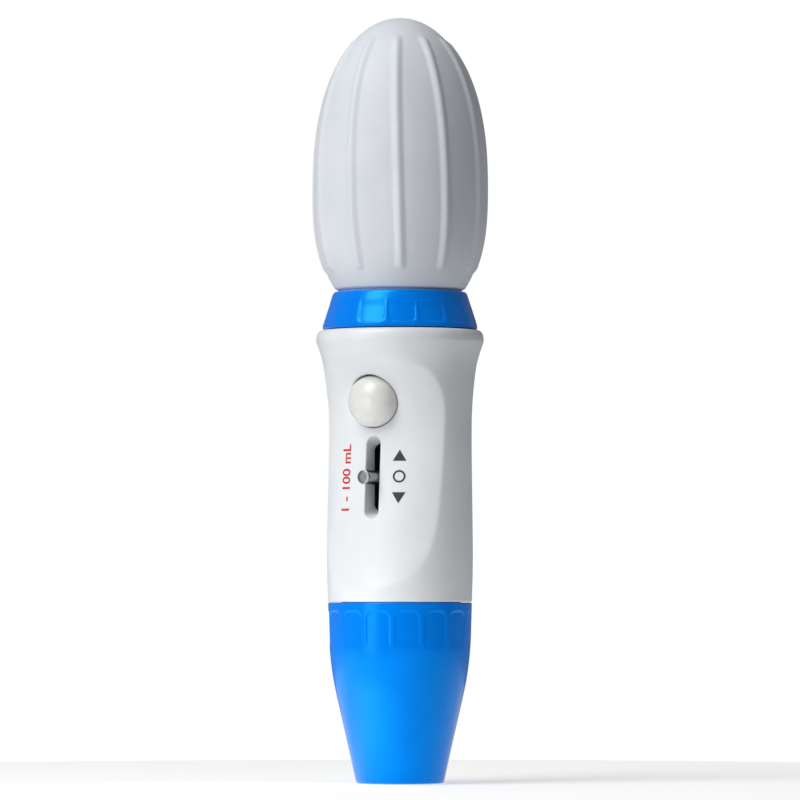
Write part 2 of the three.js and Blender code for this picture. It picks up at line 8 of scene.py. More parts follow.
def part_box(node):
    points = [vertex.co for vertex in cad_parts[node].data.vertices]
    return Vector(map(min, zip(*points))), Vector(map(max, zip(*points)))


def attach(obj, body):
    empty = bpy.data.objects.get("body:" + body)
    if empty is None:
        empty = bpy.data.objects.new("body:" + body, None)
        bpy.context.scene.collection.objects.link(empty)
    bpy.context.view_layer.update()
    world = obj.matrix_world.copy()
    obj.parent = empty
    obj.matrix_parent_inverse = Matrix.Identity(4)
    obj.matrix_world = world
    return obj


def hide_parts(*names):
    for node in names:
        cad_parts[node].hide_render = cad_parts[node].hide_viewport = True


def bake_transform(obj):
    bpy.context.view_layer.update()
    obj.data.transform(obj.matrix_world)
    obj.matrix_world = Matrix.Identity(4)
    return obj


# The looks of a hand-held pipette controller: a ribbed silicone bulb, a screwed collar, a scooped
# barrel with its lever slot and blow-out button, and a screwed nose. Shapes are in millimetres.
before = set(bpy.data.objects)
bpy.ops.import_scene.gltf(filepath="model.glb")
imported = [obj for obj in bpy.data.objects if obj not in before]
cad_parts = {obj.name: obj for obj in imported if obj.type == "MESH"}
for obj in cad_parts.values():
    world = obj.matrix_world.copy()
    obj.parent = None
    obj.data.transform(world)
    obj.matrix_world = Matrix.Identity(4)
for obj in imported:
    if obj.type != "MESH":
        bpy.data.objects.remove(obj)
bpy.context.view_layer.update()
scene = bpy.context.scene

MM = 0.001
FULL_TURN = 2 * math.pi
SECTORS = 20


def low(node):
    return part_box(node)[0] / MM


def high(node):
    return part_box(node)[1] / MM


def middle(node):
    return (low(node) + high(node)) / 2


# ---- Sizes, in millimetres ----
JOINT_GAP = 0.3
SHOULDER = high("nose_cone").z + JOINT_GAP  # the barrel's lower shoulder
RIM = low("bulb_ring").z - JOINT_GAP  # the barrel's upper rim
RING_BASE = low("bulb_ring").z
BULB_BASE = low("squeeze_bulb").z
LEVER_HEIGHT = middle("lever_pin").z
BUTTON_HEIGHT = middle("blow_out_button").z
BUTTON_TIP = -low("blow_out_button").y

NOSE_THREAD = {"mean": 14.9, "depth": 0.35, "pitch": 3.0, "datum": SHOULDER}
RING_THREAD = {"mean": 15.9, "depth": 0.32, "pitch": 2.5, "datum": RIM}
THREAD_GAP = 0.35

SCOOP_RADIUS = 24.5
SCOOP_DEEPEST = SHOULDER + 44.7
SCOOP_RUN = 42.2  # from the deepest height down to where the scoop starts
SCOOP_DEEPEST_REACH = 13.15
SCOOP_START_REACH = 18.2
SCOOP_TOP_ARC = 23.3
SCOOP_EASE = 0.08
SCOOP_EDGE = 0.2  # how softly the scoop meets the barrel
BARREL_WALL = 2.3

SLOT_WIDTH = 3.9
SLOT_LENGTH = 20.5
SLOT_FLARE = math.tan(math.radians(22))
SLOT_LIP = 0.4
SLOT_BOSS = 1.6
SLOT_BACK = -9.25
BUTTON_HOLE = 6.62
HOLE_LIP = 0.25

POCKETS = 15
RING_POCKET_DEPTH = 0.24
NOSE_POCKET_DEPTH = 0.168
POCKET_WALL = 0.45  # how wide a pocket's soft wall is
RING_POCKET_PHASE = math.radians(-4.7)

RING_BORE = 15.7  # the plain bores that the inside threads are shaped from
NOSE_BORE = 15.3

BUTTON_RADIUS = 6.4
BUTTON_DOME = 4.6
PIN_RADIUS = 1.75

BULB_RADIUS = 21.6
BULB_WALL = 1.8
BULB_WIDEST = 27.7
BULB_CROWN = 71.0
CROWN_CURVE = 2.4  # the powers that shape the bulb above and below its widest place
FOOT_CURVE = 2.6
FOOT_REACH = 34
FLAT_DIP = 0.16  # how far the flats between the ribs are drawn in
RIBS = 11
RIB_HEIGHT = 0.64
RIB_HALF_WIDTH = 1.75
RIB_FIRST = math.radians(30.4)  # from the front, towards +X
RIB_LEAN = math.radians(-4.0)
RIB_START = 7.0  # heights above the bulb's flange
RIB_END = 65.6
RIB_TAPER_FROM = 1.2  # how far before its end a rib starts to die away, and over what length
RIB_TAPER = 1.6


# ---- Curves and formulas ----
def smooth(x):
    t = min(1.0, max(0.0, x))
    return t * t * (3 - 2 * t)


def soft_least(a, b, reach):
    h = max(reach - abs(a - b), 0.0) / reach
    return min(a, b) - h * h * reach / 4


def line(start, end, count):
    return [
        (start[0] + (end[0] - start[0]) * i / count, start[1] + (end[1] - start[1]) * i / count)
        for i in range(count)
    ]


def bend(start, pull, end, count):
    """A quadratic curve from start towards pull and on to end, without its last point."""
    points = []
    for i in range(count):
        t = i / count
        points.append(
            tuple(
                (1 - t) ** 2 * a + 2 * t * (1 - t) * b + t * t * c
                for a, b, c in zip(start, pull, end)
            )
        )
    return points


def through(points, spacing):
    """A smooth curve through points, without its last point."""
    made = []
    for i in range(len(points) - 1):
        around = [points[max(i - 1, 0)], points[i], points[i + 1], points[min(i + 2, len(points) - 1)]]
        count = max(2, round(math.dist(points[i], points[i + 1]) / spacing))
        for step in range(count):
            t = step / count
            made.append(tuple(catmull(*axis, t) for axis in zip(*around)))
    return made


def catmull(a, b, c, d, t):
    slope_in = (c - a) / 2
    slope_out = (d - b) / 2
    cubic = 2 * b - 2 * c + slope_in + slope_out
    square = -3 * b + 3 * c - 2 * slope_in - slope_out
    return cubic * t**3 + square * t**2 + slope_in * t + b


def eased(points, size, count=4):
    """A closed outline with each corner rounded off by up to size."""
    made = []
    for before, corner, after in zip(points[-1:] + points[:-1], points, points[1:] + points[:1]):
        ends = []
        for other in (before, after):
            length = math.dist(corner, other)
            share = min(size, 0.45 * length) / length
            ends.append(tuple(c + (o - c) * share for c, o in zip(corner, other)))
        made += bend(ends[0], corner, ends[1], count) + [ends[1]]
    return made


def from_front(x, y):
    """The angle about the long axis, from the front towards +X."""
    return math.atan2(x, -y)


def thread_radius(thread, x, y, z, gap=0.0):
    turn = FULL_TURN * (z - thread["datum"]) / thread["pitch"] - math.atan2(y, x)
    return thread["mean"] + gap + thread["depth"] * math.cos(turn)


def scoop_reach(z):
    """How far the scoop's floor lies in front of the axis at a height."""
    rise = z - SCOOP_DEEPEST
    if rise > 0:
        rise = min(rise, SCOOP_TOP_ARC - 0.5)
        return SCOOP_DEEPEST_REACH + SCOOP_TOP_ARC - math.sqrt(SCOOP_TOP_ARC**2 - rise**2)
    t = -rise / SCOOP_RUN
    slope = math.hypot(t, SCOOP_EASE) - SCOOP_EASE
    return SCOOP_DEEPEST_REACH + (SCOOP_START_REACH - SCOOP_DEEPEST_REACH) * (0.45 * slope + 0.55 * t**4)


def scoop_radius(angle, z, inset=0.0):
    """The scoop's floor as a distance from the axis, at an angle from the front."""
    centre = SCOOP_RADIUS - scoop_reach(z)
    radius = SCOOP_RADIUS - inset
    inside = radius**2 - (centre * math.sin(angle)) ** 2
    if inside < 0:
        return 99.0
    return math.sqrt(inside) - centre * math.cos(angle)


def floor_y(x, z):
    """Where the scoop's floor is, x to the side of the middle."""
    return SCOOP_RADIUS - scoop_reach(z) - math.sqrt(SCOOP_RADIUS**2 - x**2)


# ---- Mesh helpers ----
def spun(outline, steps):
    """A closed outline of (radius, height) points, turned about the long axis.

    One sector is spun, then copied round, which is far quicker than one long spin.
    """
    bm = bmesh.new()
    verts = [bm.verts.new((r, 0, z)) for r, z in outline]
    closing = [] if outline[0][0] == 0 and outline[-1][0] == 0 else verts[:1]
    edges = [bm.edges.new(pair) for pair in zip(verts, verts[1:] + closing)]
    sector = FULL_TURN / SECTORS
    centre = {"cent": (0, 0, 0)}
    bmesh.ops.spin(
        bm, geom=verts + edges, axis=(0, 0, 1), angle=sector, steps=steps // SECTORS, **centre
    )
    first = bm.verts[:] + bm.edges[:] + bm.faces[:]
    for i in range(1, SECTORS):
        copy = bmesh.ops.duplicate(bm, geom=first)["geom"]
        corners = [item for item in copy if isinstance(item, bmesh.types.BMVert)]
        bmesh.ops.rotate(bm, matrix=Matrix.Rotation(sector * i, 3, "Z"), verts=corners, **centre)
    bmesh.ops.remove_doubles(bm, verts=bm.verts, dist=1e-4)
    bmesh.ops.recalc_face_normals(bm, faces=bm.faces)
    return bm


def lofted(rings):
    """A closed solid through rings of points."""
    bm = bmesh.new()
    loops = []
    for ring in rings:
        verts = [bm.verts.new(point) for point in ring]
        loops.append([bm.edges.new(pair) for pair in zip(verts, verts[1:] + verts[:1])])
    for here, there in zip(loops, loops[1:]):
        bmesh.ops.bridge_loops(bm, edges=here + there)
    bmesh.ops.edgeloop_fill(bm, edges=loops[0])
    bmesh.ops.edgeloop_fill(bm, edges=loops[-1])
    bmesh.ops.recalc_face_normals(bm, faces=bm.faces)
    return bm


def reshape(bm, radius_at):
    """Moves each corner in or out to the radius that radius_at(radius, angle, x, y, z) gives."""
    for vert in bm.verts:
        x, y, z = vert.co
        radius = math.hypot(x, y)
        if radius > 0.01:
            share = radius_at(radius, from_front(x, y), x, y, z) / radius
            vert.co.x = x * share
            vert.co.y = y * share


def loose_object(bm, name):
    mesh = bpy.data.meshes.new(name)
    bm.to_mesh(mesh)
    bm.free()
    made = bpy.data.objects.new(name, mesh)
    scene.collection.objects.link(made)
    return made


def combined(body, tools):
    """Joins solids to a body, or cuts them out of it, in order."""
    main = loose_object(body, "body")
    helpers = []
    for tool, operation in tools:
        helper = loose_object(tool, "tool")
        step = main.modifiers.new("step", "BOOLEAN")
        step.operation = operation
        step.solver = "MANIFOLD"
        step.object = helper
        helpers.append(helper)
    result = bmesh.new()
    result.from_object(main, bpy.context.evaluated_depsgraph_get())
    for spare in [main, *helpers]:
        bpy.data.objects.remove(spare)
    bmesh.ops.remove_doubles(result, verts=result.verts, dist=1e-4)
    return result


def piece(name, bm, material, body, replaces=(), crease=32):
    """Finishes a mesh as a named piece, in metres, that rides on a body if one is given."""
    bmesh.ops.scale(bm, vec=(MM, MM, MM), verts=bm.verts)
    made = loose_object(bm, name)
    made.data.shade_smooth()
    made.data.set_sharp_from_angle(angle=math.radians(crease))
    made.data.materials.append(material)
    if body:
        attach(made, body)
    if replaces:
        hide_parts(*replaces)
    return made


# ---- Materials ----
PATTERN_LOW, PATTERN_HIGH = 0.3, 0.7  # a noise pattern mostly lies between these
WAVE_SPACING = 0.314  # metres between the rings of a wave texture whose scale is 1


def colour(code):
    """An sRGB hex colour as linear red, green, blue and alpha."""
    parts = [int(code[i : i + 2], 16) / 255 for i in (1, 3, 5)]
    return [p / 12.92 if p <= 0.04045 else ((p + 0.055) / 1.055) ** 2.4 for p in parts] + [1.0]


def node(tree, kind, settings=(), **links):
    """Adds a node. A setting names an input or a property; a link names an input and its source."""
    made = tree.nodes.new(kind)
    for key, value in dict(settings).items():
        if key in made.inputs:
            made.inputs[key].default_value = value
        else:
            setattr(made, key, value)
    for key, source in links.items():
        tree.links.new(source, made.inputs[key.replace("_", " ")])
    return made


def shade_range(tree, source, dark, light):
    """Turns a pattern's 0 to 1 into a colour between two near shades."""
    ramp = node(tree, "ShaderNodeValToRGB", Fac=source)
    ramp.color_ramp.elements[0].color = colour(dark)
    ramp.color_ramp.elements[1].color = colour(light)
    ramp.color_ramp.elements[0].position = PATTERN_LOW
    ramp.color_ramp.elements[1].position = PATTERN_HIGH
    return ramp.outputs["Color"]


def number_range(tree, source, least, most):
    settings = {"From Min": PATTERN_LOW, "From Max": PATTERN_HIGH, "To Min": least, "To Max": most}
    return node(tree, "ShaderNodeMapRange", settings, Value=source).outputs["Result"]


def noise(tree, place, size_mm, detail=3.0):
    """Soft blotches of about a size in millimetres."""
    settings = {"Scale": 1 / (size_mm * MM), "Detail": detail, "Roughness": 0.55}
    return node(tree, "ShaderNodeTexNoise", settings, Vector=place).outputs["Fac"]


def finish(name, shades, roughness, grain_mm, grain_height_mm, blotch_mm=14.0, extra=(), relief=None):
    """A moulded or turned finish: near shades in soft blotches, uneven gloss and a fine grain."""
    made = bpy.data.materials.new(name)
    made.use_nodes = True
    tree = made.node_tree
    shader = tree.nodes["Principled BSDF"]
    place = node(tree, "ShaderNodeTexCoord").outputs["Object"]
    blotches = noise(tree, place, blotch_mm)
    tree.links.new(shade_range(tree, blotches, *shades), shader.inputs["Base Color"])
    wear = noise(tree, place, blotch_mm / 5, 5.0)
    tree.links.new(number_range(tree, wear, *roughness), shader.inputs["Roughness"])
    height = relief(tree, place) if relief else noise(tree, place, grain_mm, 2.0)
    bump = node(
        tree, "ShaderNodeBump", {"Strength": 1.0, "Distance": grain_height_mm * MM}, Height=height
    )
    tree.links.new(bump.outputs["Normal"], shader.inputs["Normal"])
    for key, value in dict(extra).items():
        shader.inputs[key].default_value = value
    return made


def turned_lines(centre_mm, axis_turn, spacing_mm):
    """The fine rings that a lathe tool leaves, about an axis through a point."""

    def relief(tree, place):
        mapping = node(
            tree,
            "ShaderNodeMapping",
            {"vector_type": "TEXTURE", "Location": Vector(centre_mm) * MM, "Rotation": axis_turn},
            Vector=place,
        )
        settings = {
            "wave_type": "RINGS",
            "rings_direction": "Z",
            "Scale": WAVE_SPACING / (spacing_mm * MM),
            "Distortion": 0.4,
            "Detail": 1.0,
        }
        return node(tree, "ShaderNodeTexWave", settings, Vector=mapping.outputs["Vector"]).outputs["Fac"]

    return relief


# Injection-moulded ABS, coloured through and left as it comes from a satin tool: a deep, even blue
# whose broad soft highlights stay blue, since the colour lies just below the skin.
BLUE_ABS = finish(
    "moulded blue ABS", ("#0079e9", "#0081f5"), (0.2, 0.27), 0.5, 0.001,
    extra={"IOR": 1.54, "Specular IOR Level": 0.6, "Specular Tint": (0.04, 0.9, 1.0, 1.0)},
)
# Pale ABS from a lightly sparked tool: a cool off-white with a very fine even grain.
PALE_ABS = finish(
    "moulded pale ABS", ("#dfe3e6", "#e8ebed"), (0.34, 0.44), 0.35, 0.004,
    extra={
        "IOR": 1.54,
        "Subsurface Weight": 0.08,
        "Subsurface Radius": (0.6 * MM,) * 3,
        "Subsurface Scale": 1.0,
    },
)
# Satin ABS: a warm light grey cap that shows the lamp as one soft bright patch.
BUTTON_ABS = finish(
    "satin warm grey ABS", ("#dddcd9", "#e5e4e1"), (0.24, 0.32), 0.6, 0.0006, 6.0,
    extra={"IOR": 1.54},
)
# Compression-moulded silicone rubber: cool grey, dull and slightly waxy, with a powdery bloom.
GREY_SILICONE = finish(
    "moulded grey silicone", ("#d5d9df", "#dfe3e8"), (0.5, 0.62), 0.5, 0.012, 20.0,
    extra={
        "IOR": 1.41,
        "Subsurface Weight": 0.25,
        "Subsurface Radius": (2.4 * MM, 2.3 * MM, 2.2 * MM),
        "Subsurface Scale": 1.0,
        "Sheen Weight": 0.12,
        "Sheen Roughness": 0.5,
    },
)
# Natural silicone: a milky cream that lets some light through at its thin lips.
CLEAR_SILICONE = finish(
    "natural silicone", ("#dfdccc", "#ebe8da"), (0.4, 0.52), 0.7, 0.01, 8.0,
    extra={
        "IOR": 1.41,
        "Subsurface Weight": 0.35,
        "Subsurface Radius": (2.0 * MM, 1.8 * MM, 1.3 * MM),
        "Subsurface Scale": 1.0,
    },
)
# Machined and moulded acetal: a dense, slightly warm white with a soft sheen.
ACETAL = finish(
    "natural acetal", ("#e6e6e0", "#efefea"), (0.36, 0.46), 0.3, 0.004, 7.0, extra={"IOR": 1.48}
)
# Painted shade: a near-black finish on the valve block, which stands in for the shade inside the slot.
SLOT_SHADE_BLACK = finish(
    "near-black painted slot shade", ("#17181a", "#222426"), (0.4, 0.5), 0.3, 0.004, 7.0, extra={"IOR": 1.48}
)
# Nitrile rubber: near black and dull, with a little pale bloom.
NITRILE = finish(
    "black nitrile rubber", ("#1c1d1f", "#2b2d30"), (0.66, 0.82), 0.25, 0.01, 4.0, extra={"IOR": 1.52}
)
# Polypropylene: a clear-looking, slightly waxy white case.
POLYPROPYLENE = finish(
    "natural polypropylene", ("#e9ecec", "#f4f6f6"), (0.26, 0.36), 0.4, 0.003, 9.0,
    extra={
        "IOR": 1.49,
        "Subsurface Weight": 0.2,
        "Subsurface Radius": (1.0 * MM,) * 3,
        "Subsurface Scale": 1.0,
    },
)
# Turned stainless bar: bright, with fine lathe rings on its end face.
TURNED_STEEL = finish(
    "turned stainless steel", ("#85878a", "#9b9da0"), (0.22, 0.3), 0.1, 0.0003, 3.0,
    extra={"Metallic": 1.0},
    relief=turned_lines((0, 0, LEVER_HEIGHT), (math.radians(90), 0, 0), 0.35),
)
# Stainless wire, shafts and screws: bright drawn metal with faint long marks.
DRAWN_STEEL = finish(
    "drawn stainless steel", ("#a4a6a8", "#bcbec0"), (0.22, 0.34), 0.15, 0.002, 3.0,
    extra={"Metallic": 1.0},
)
# Pad-printed ink: thin, flat and slightly broken up by the grain below it.
GREY_INK = finish("grey pad-print ink", ("#292b2e", "#393c3f"), (0.5, 0.62), 0.3, 0.004, 1.2)
RED_INK = finish("red pad-print ink", ("#c22026", "#d42c30"), (0.5, 0.62), 0.3, 0.004, 1.2)

NODE_FINISHES = {
    ACETAL: [
        "blow_out_piston", "button_cylinder", "cylinder_cap", "bulb_seat", "spool_bore_plug",
        "inlet_tube",
    ],
    # The valve block carries the painted slot shade.
    SLOT_SHADE_BLACK: ["valve_block"],
    NITRILE: [
        "piston_seal", "seat_o_ring", "spool_o_ring_upper", "spool_o_ring_lower", "nose_o_ring",
        "filter_gasket",
    ],
    GREY_SILICONE: ["exhaust_valve", "check_valve"],
    POLYPROPYLENE: ["disc_filter"],
    DRAWN_STEEL: [
        "seat_screw_left", "seat_screw_right", "block_screw_left", "block_screw_right",
        "valve_spool", "lever_arm", "lever_axle", "snap_ring",
    ],
}
for material, names in NODE_FINISHES.items():
    for name in names:
        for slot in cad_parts[name].material_slots:
            slot.material = material


# ---- Squeeze bulb ----
def bulb_side(height, radius, crown):
    if height >= BULB_WIDEST:
        t = min(1.0, (height - BULB_WIDEST) / (crown - BULB_WIDEST))
        return radius * math.sqrt(1 - t**CROWN_CURVE)
    return radius * math.sqrt(1 - ((BULB_WIDEST - height) / FOOT_REACH) ** FOOT_CURVE)


def bulb_rows(radius, crown, start, count):
    rows = []
    for i in range(count + 1):
        height = start + (crown - start) * (0.5 - 0.5 * math.cos(math.pi * i / count))
        rows.append((0.0 if i == count else bulb_side(height, radius, crown), height))
    return rows


def rib_rise(angle, height):
    """How far the ribs stand out, with the flats between them drawn slightly in."""
    along = (height - RIB_START) / (RIB_END - RIB_START)
    pitch = FULL_TURN / RIBS
    turn = (angle - RIB_FIRST - RIB_LEAN * along + pitch / 2) % pitch - pitch / 2
    radius = bulb_side(height, BULB_RADIUS, BULB_CROWN)
    across = abs(turn) * radius / RIB_HALF_WIDTH
    beyond = max(RIB_START + RIB_TAPER_FROM - height, height - RIB_END + RIB_TAPER_FROM, 0.0) / RIB_TAPER
    distance = math.hypot(across, beyond)
    ridge = RIB_HEIGHT * (0.5 + 0.5 * math.cos(math.pi * min(distance, 1.0)))
    ends = smooth((height - 4) / 8) * smooth((BULB_CROWN - height) / 12)
    return ridge - FLAT_DIP * (0.5 - 0.5 * math.cos(FULL_TURN * turn / pitch)) * ends


def bulb_shell():
    """One closed skin: up the outside, over the crown and back down the inside to the neck."""
    outside = bulb_rows(BULB_RADIUS, BULB_CROWN, 3.1, 130)
    inside = bulb_rows(BULB_RADIUS - BULB_WALL, BULB_CROWN - BULB_WALL, 4.6, 24)
    neck = bend((16, 0), (16.15, 0.65), (16, 1.3), 4) + bend((16, 1.3), (15.2, 1.3), (15.2, 2.1), 4)
    outline = [(13.5, 0.0), *neck, (15.2, 2.1), (15.2, 2.5), *outside, *inside[::-1]]
    shell = spun(outline, 440)

    def ribbed(radius, angle, x, y, z):
        is_outside = z > 3.4 and radius > bulb_side(z, BULB_RADIUS, BULB_CROWN) - 0.01
        return radius + rib_rise(angle, z) if is_outside else radius

    reshape(shell, ribbed)
    bmesh.ops.translate(shell, vec=(0, 0, BULB_BASE), verts=shell.verts)
    return shell


piece("bulb_skin", bulb_shell(), GREY_SILICONE, "bulb", ["squeeze_bulb"], crease=50)


# ---- Grip pockets ----
def pocket_share(angle, z, radius, half_width, bottom, top, corner, phase=0.0):
    """How much of a pocket there is at a place, from 0 on a ridge to 1, with soft walls and round ends."""
    pitch = FULL_TURN / POCKETS
    turn = (angle - phase) % pitch - pitch / 2
    across = abs(turn) * radius - (half_width - corner)
    along = max(bottom + corner - z, z - top + corner)
    outside = math.hypot(max(across, 0.0), max(along, 0.0)) + min(max(across, along), 0.0) - corner
    return 1 - smooth(outside / POCKET_WALL + 0.5)


# ---- Collar ring ----
def ring_outline():
    side = line((19.35, 0.25), (19.25, 1.2), 6)
    side += bend((19.25, 1.2), (18.3, 4.4), (17.1, 7.9), 32)
    side += bend((17.1, 7.9), (16.8, 9.0), (16.45, 9.2), 10)
    top = [(16.45, 9.2), (16.3, 9.3), (15.7, 9.3), (15.5, 9.2), (15.5, 8.75), (16.3, 8.4), (16.3, 5.9)]
    bore = line((RING_BORE, 5.9), (RING_BORE, 0.3), 28)
    return [(19.1, 0.0), *side, *top, *bore, (RING_BORE, 0.3), (16.75, 0.0)]


def ring_shell():
    shell = spun(ring_outline(), 480)
    bmesh.ops.translate(shell, vec=(0, 0, RING_BASE), verts=shell.verts)

    def shaped(radius, angle, x, y, z):
        height = z - RING_BASE
        if abs(radius - RING_BORE) < 0.01 and 0.25 < height < 5.95:
            return thread_radius(RING_THREAD, x, y, z, THREAD_GAP)
        if radius > 16.6:
            share = pocket_share(
                angle, height, radius,
                half_width=3.45, bottom=1.2, top=12, corner=1.1, phase=RING_POCKET_PHASE,
            )
            fade = 1 - smooth((height - 4.6) / 3.0)
            return radius - RING_POCKET_DEPTH * share * fade
        return radius

    reshape(shell, shaped)
    return shell


piece("collar_ring", ring_shell(), BLUE_ABS, "ring", ["bulb_ring"])


# ---- Nose ----
def nose_shell():
    side = line((11.05, 0.6), (15.95, 22.5), 26)
    side += bend((15.95, 22.5), (17.35, 28.6), (17.7, 36), 34)
    side += line((17.7, 36), (17.95, 44.6), 34)
    foot = bend((10.45, 0), (10.9, 0.0), (11.05, 0.6), 5)
    rim = bend((17.95, 44.6), (17.93, 45.0), (17.6, 45), 4)
    bore = line((NOSE_BORE, 45), (NOSE_BORE, 35.3), 40) + [(NOSE_BORE, 35.3)]
    inside = [(15, 35.2), (15, 29), (14, 24), (9.5, 2.2), (6.6, 2.2), (6.3, 1.9), (6.3, 0.3)]
    outline = [(6.6, 0.0), *foot, *side, *rim, (17.6, 45), *bore, *inside]
    shell = spun(outline, 600)

    def shaped(radius, angle, x, y, z):
        if abs(radius - NOSE_BORE) < 0.01 and z > 35.25:
            return thread_radius(NOSE_THREAD, x, y, z, THREAD_GAP)
        if z > 30 and radius > 16.6:
            share = pocket_share(angle, z, radius, half_width=3.05, bottom=20, top=42.8, corner=1.9)
            fade = smooth((z - 33.4) / 2.2)
            return radius - NOSE_POCKET_DEPTH * share * fade
        return radius

    reshape(shell, shaped)
    return shell


piece("nose_shell", nose_shell(), BLUE_ABS, "nose", ["nose_cone"])


# ---- Barrel ----
def barrel_outline():
    waist = [(17.95, 0.2), (18.2, 12), (17.92, 38), (18.1, 49), (19.1, 58.6), (20.9, 64.8)]
    lip = bend((20.9, 64.8), (21.05, 67.1), (19.8, 67.6), 10)
    neck = line((15.9, 67.6), (15.9, 73.0), 34) + [(15.9, 73.0), (15.6, 73.2), (13.8, 73.2), (13.55, 73.0)]
    inner = line((13.55, 63), (16.2, 56), 8) + line((16.2, 56), (15.7, 50), 8)
    inner += line((15.7, 50), (15.8, 3.5), 50) + [(15.8, 3.5), (7.2, 1.6), (14, 1.6), (12.8, -0.6)]
    ledges = [(12.8, -3.3), (11, -3.3), (11, -4.8), (12.8, -4.8), (12.8, -7), (13.5, -7), (13.5, -8.4)]
    spigot = [(12.8, -8.4), (12.8, -9.2), (13, -9.4), (14.6, -9.4)] + line((14.9, -9.2), (14.9, 0), 48)
    shoulder = [(14.9, 0), (16.2, 0), (16.4, -0.18)]
    shoulder += bend((17.65, -0.18), (17.93, -0.16), (17.95, 0.2), 4)
    top = [(19.8, 67.6), (17.6, 67.6)]
    return spigot + shoulder + through(waist, 0.5) + lip + top + neck + inner + ledges


def slot_ring(grow, depth, flat_y=None):
    """The slot's outline, grown by a margin, at a depth below the scoop's floor or on a flat."""
    half_width = SLOT_WIDTH / 2 + grow
    ring = []
    for i in range(64):
        angle = FULL_TURN * (i + 0.5) / 64
        x = half_width * math.cos(angle)
        side = math.copysign(1.0, math.sin(angle))
        sunk = depth if flat_y is None else flat_y - floor_y(0, LEVER_HEIGHT)
        half_length = SLOT_LENGTH / 2 - sunk * SLOT_FLARE + grow
        z = LEVER_HEIGHT + side * (half_length - half_width) + half_width * math.sin(angle)
        ring.append((x, floor_y(x, z) + depth if flat_y is None else flat_y, z))
    return ring


def hole_ring(grow, depth, flat_y=None):
    ring = []
    for i in range(96):
        angle = FULL_TURN * i / 96
        x = (BUTTON_HOLE + grow) * math.cos(angle)
        z = BUTTON_HEIGHT + (BUTTON_HOLE + grow) * math.sin(angle)
        ring.append((x, floor_y(x, z) + depth if flat_y is None else flat_y, z))
    return ring


def mouthed(ring, lip, back_y):
    """A cutter whose mouth flares into a rounded lip that follows the scoop's floor."""
    rings = [ring(lip * 1.25, -1.5), ring(lip, -0.02)]
    for i in range(1, 7):
        angle = math.radians(90) * i / 6
        rings.append(ring(lip * (1 - math.sin(angle)), lip * (1 - math.cos(angle))))
    rings.append(ring(0, 0, back_y))
    return lofted(rings)


def barrel_shell():
    shell = spun(barrel_outline(), 320)
    bmesh.ops.translate(shell, vec=(0, 0, SHOULDER), verts=shell.verts)

    def shaped(radius, angle, x, y, z):
        height = z - SHOULDER
        if abs(radius - NOSE_THREAD["mean"]) < 0.01 and height < 0.01:
            return thread_radius(NOSE_THREAD, x, y, z)
        if abs(radius - RING_THREAD["mean"]) < 0.01 and height > 67.5:
            return thread_radius(RING_THREAD, x, y, z)
        if 0.1 < height < 67.4 and radius > 17.3:
            return soft_least(radius, scoop_radius(angle, z), SCOOP_EDGE)
        if 3.4 < height < 62.9 and radius < 16.5:
            return min(radius, scoop_radius(angle, z, BARREL_WALL))
        return radius

    reshape(shell, shaped)
    boss = lofted([slot_ring(SLOT_BOSS, 0, y) for y in (-12.8, -11, SLOT_BACK)])
    slot = mouthed(slot_ring, SLOT_LIP, SLOT_BACK + 1)
    hole = mouthed(hole_ring, HOLE_LIP, -8)
    return combined(shell, [(boss, "UNION"), (slot, "DIFFERENCE"), (hole, "DIFFERENCE")])


piece("barrel_shell", barrel_shell(), PALE_ABS, "barrel", ["housing"])


# ---- Blow-out button, lever pin and pipette adapter ----
def facing_front(bm, height):
    """Turns a piece spun about the long axis so that its top faces the front."""
    bmesh.ops.rotate(bm, cent=(0, 0, 0), matrix=Matrix.Rotation(math.radians(90), 3, "X"), verts=bm.verts)
    bmesh.ops.translate(bm, vec=(0, 0, height), verts=bm.verts)
    return bm


def button_cap():
    base = BUTTON_TIP - BUTTON_DOME
    dome = []
    for i in range(28):
        angle = math.radians(90) * i / 28
        dome.append((BUTTON_RADIUS * math.cos(angle) ** 0.9, base + BUTTON_DOME * math.sin(angle)))
    inner = []
    for i in range(12, -1, -1):
        angle = math.radians(90) * i / 12
        inner.append((0.0 if i == 12 else 5.2 * math.cos(angle), base + 3.2 * math.sin(angle)))
    skirt = [(5.2, 9.2), (7.0, 9.2), (7.2, 9.4), (7.2, 9.7), (7.0, 9.9), (6.5, 9.9), (BUTTON_RADIUS, 10.1)]
    side = line((BUTTON_RADIUS, 10.2), (BUTTON_RADIUS, base), 6)
    outline = skirt + side + dome + [(0.0, BUTTON_TIP)] + inner
    return facing_front(spun(outline, 120), BUTTON_HEIGHT)


def lever_pin_bar():
    tip = -low("lever_pin").y
    root = -high("lever_pin").y
    outline = [(0.0, root + 4.2), (1.0, root + 4.2), (1.0, root + 0.1)]
    outline += [(1.1, root), (PIN_RADIUS - 0.1, root), (PIN_RADIUS, root + 0.1)]
    outline += line((PIN_RADIUS, root + 0.3), (PIN_RADIUS, tip - 0.25), 8)
    outline += bend((PIN_RADIUS, tip - 0.25), (PIN_RADIUS - 0.01, tip - 0.02), (1.5, tip), 5)
    outline += [(1.5, tip), (0.8, tip), (0.0, tip)]
    return facing_front(spun(outline, 100), LEVER_HEIGHT)


def adapter_socket():
    base = low("pipette_adapter").z
    outside = [(4.9, 0), (8.9, 0), (8.9, 3), (8.2, 3.4), (8.2, 17.5), (13.2, 22.5), (13.2, 31.1)]
    inside = [(12, 31.1), (12, 24), (2.9, 24), (2.9, 19.5)]
    return spun([(r, z + base) for r, z in eased(outside + inside, 0.35)], 120)


piece("button_cap", button_cap(), BUTTON_ABS, "button", ["blow_out_button"])
piece("pin_bar", lever_pin_bar(), TURNED_STEEL, "lever", ["lever_pin"])
socket = adapter_socket()
piece("adapter_socket", socket, CLEAR_SILICONE, "filter_stack", ["pipette_adapter"])


